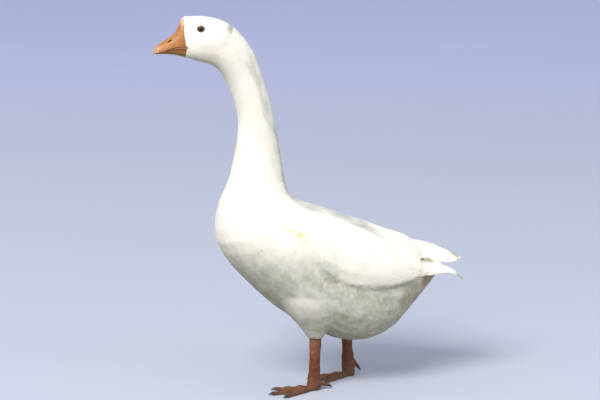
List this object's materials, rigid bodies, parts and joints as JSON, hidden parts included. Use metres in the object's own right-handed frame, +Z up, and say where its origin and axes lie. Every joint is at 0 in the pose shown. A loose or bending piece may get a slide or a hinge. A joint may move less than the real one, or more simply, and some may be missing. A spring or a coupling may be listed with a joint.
{
  "type": "goose",
  "caption": "Still, life-size model of a white domestic goose in mid-step, neck upright and wings folded, standing on its webbed feet.",
  "frame": {"origin": "On the floor, under the middle of the bird's bounding box.", "axes": "+Z up, the bill towards -Y, the bird's left side towards +X. The median plane of head, neck and trunk is x = 0."},
  "size_m": [0.23, 0.566, 0.6724],
  "materials": {
    "plumage": "soft white contour feathers",
    "flight_feathers": "stiff off-white vanes, soiled grey-brown at the tips",
    "bill": "smooth orange bill skin with a low sheen",
    "nail": "pale horn",
    "leg_skin": "scaly brownish orange skin",
    "claw": "dark grey horn",
    "eye": "wet, almost black brown"
  },
  "bodies": {
    "root": {"head": "plumage", "neck_upper": "plumage", "neck_lower": "plumage", "bill_upper": "bill", "bill_nail": "nail", "bill_lower": "bill", "eye_left": "eye", "eye_right": "eye", "trunk": "plumage", "wing_left": "plumage", "wing_right": "plumage", "tail": "flight_feathers", "primaries_left": "flight_feathers", "primaries_right": "flight_feathers", "tertials_left": "plumage", "tertials_right": "plumage", "thigh_left": "plumage", "shank_left": "leg_skin", "foot_left": "leg_skin", "claw_left_inner": "claw", "claw_left_middle": "claw", "claw_left_outer": "claw", "claw_left_hind": "claw", "thigh_right": "plumage", "shank_right": "leg_skin", "foot_right": "leg_skin", "claw_right_inner": "claw", "claw_right_middle": "claw", "claw_right_outer": "claw", "claw_right_hind": "claw"}
  },
  "joints": []
}
